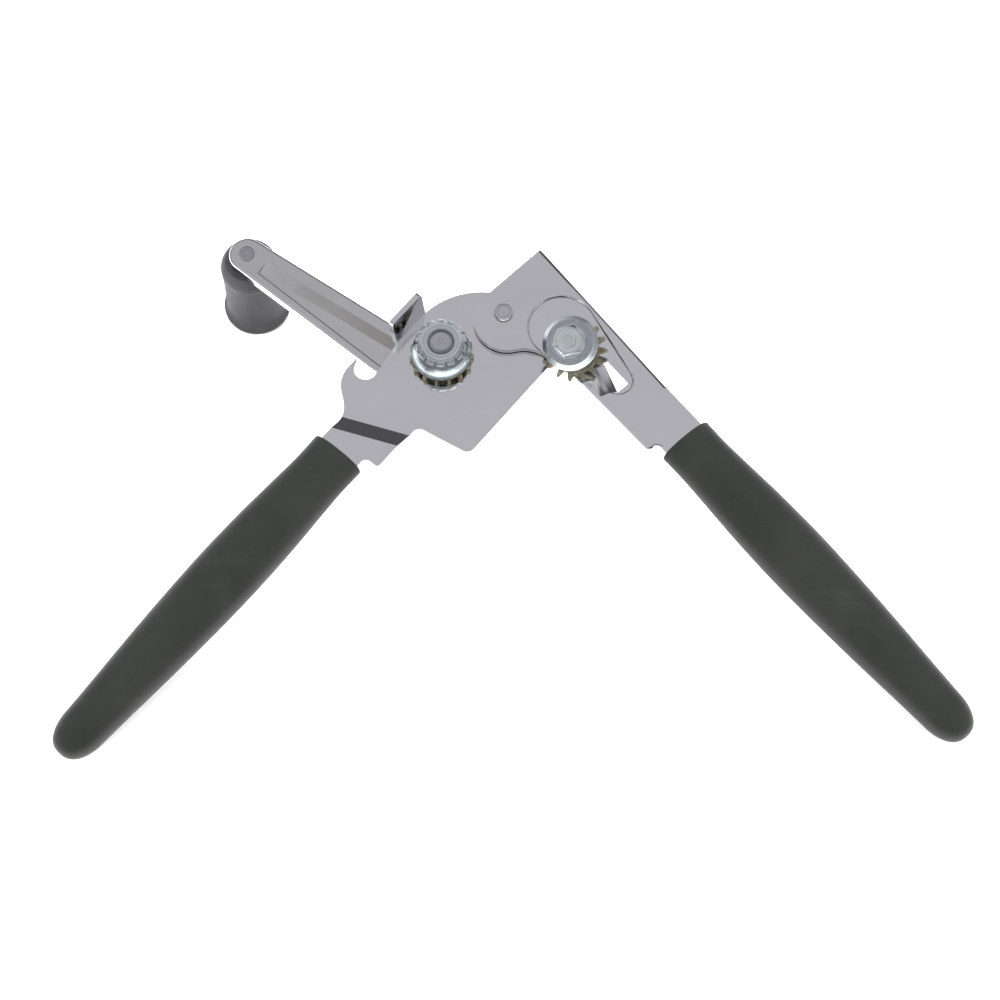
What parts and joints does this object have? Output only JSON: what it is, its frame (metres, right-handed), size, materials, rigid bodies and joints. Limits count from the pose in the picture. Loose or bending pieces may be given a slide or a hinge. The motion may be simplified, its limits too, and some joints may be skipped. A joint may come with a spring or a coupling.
{
  "type": "manual can opener",
  "caption": "Hand-crank can opener: long sleeved handles that pivot like pliers, toothed feed wheel, geared tilted cutting wheel, bottle notch and a swivelling crank knob.",
  "frame": {"origin": "centre of the underside of the whole opener's bounding box, level with the free end of the crank knob", "axes": "+Z along the handle pivot, out of the cutting side; +X to the right across the spread handles, the drive handle on the left; +Y from the grip ends towards the pivot"},
  "size_m": [0.3172, 0.2126, 0.0814],
  "materials": {
    "bright_plate": "bright nickel or chrome plating on pressed steel, faint rolling lines",
    "zinc_plate": "bluish zinc plating with turning marks",
    "yellow_zinc": "yellow passivated zinc plating",
    "grip_rubber": "matte dark rubber with a faint grain",
    "knob_plastic": "satin black plastic"
  },
  "bodies": {
    "drive_handle": {"drive_plate": "bright_plate", "drive_grip": "grip_rubber", "pivot_rivet": "bright_plate", "pivot_washer": "zinc_plate", "drive_bush": "zinc_plate", "thrust_washer": "zinc_plate"},
    "crank": {"crank_shaft": "zinc_plate", "crank_arm": "bright_plate", "crank_washer": "zinc_plate", "crank_spacer": "zinc_plate", "crank_spring_washer": "zinc_plate", "drive_gear": "yellow_zinc", "feed_collar": "zinc_plate", "feed_wheel": "zinc_plate", "knob_pin": "zinc_plate", "knob_spacer": "zinc_plate", "knob_washer": "zinc_plate"},
    "knob": {"knob": "knob_plastic"},
    "cutter_handle": {"cutter_plate": "bright_plate", "cutter_grip": "grip_rubber", "cutter_boss": "zinc_plate", "cutter_axle": "zinc_plate", "cutter_spring_washer": "zinc_plate", "wheel_washer": "zinc_plate", "cutter_nut": "zinc_plate"},
    "cutter_spindle": {"cutter_gear": "yellow_zinc", "cutter_sleeve": "zinc_plate", "cutter_wheel": "zinc_plate"}
  },
  "joints": [
    {"name": "handle_pivot", "type": "hinge", "parent": "drive_handle", "child": "cutter_handle", "pos_m": [-0.00346, 0.06125, 0.06], "axis": [0, 0, 1], "range_deg": [-70, 60]},
    {"name": "crank_spin", "type": "hinge", "parent": "drive_handle", "child": "crank", "pos_m": [-0.02605, 0.04513, 0.0589], "axis": [0, 0, 1], "continuous": true},
    {"name": "knob_spin", "type": "hinge", "parent": "crank", "child": "knob", "pos_m": [-0.10027, 0.09333, 0.02], "axis": [0, 0, 1], "continuous": true},
    {"name": "cutter_spin", "type": "hinge", "parent": "cutter_handle", "child": "cutter_spindle", "pos_m": [0.02259, 0.04564, 0.06335], "axis": [-0.1694, -0.2067, 0.9636], "continuous": true}
  ],
  "couplings": [
    {"joint": "cutter_spin", "follows": "crank_spin", "ratio": -1}
  ]
}
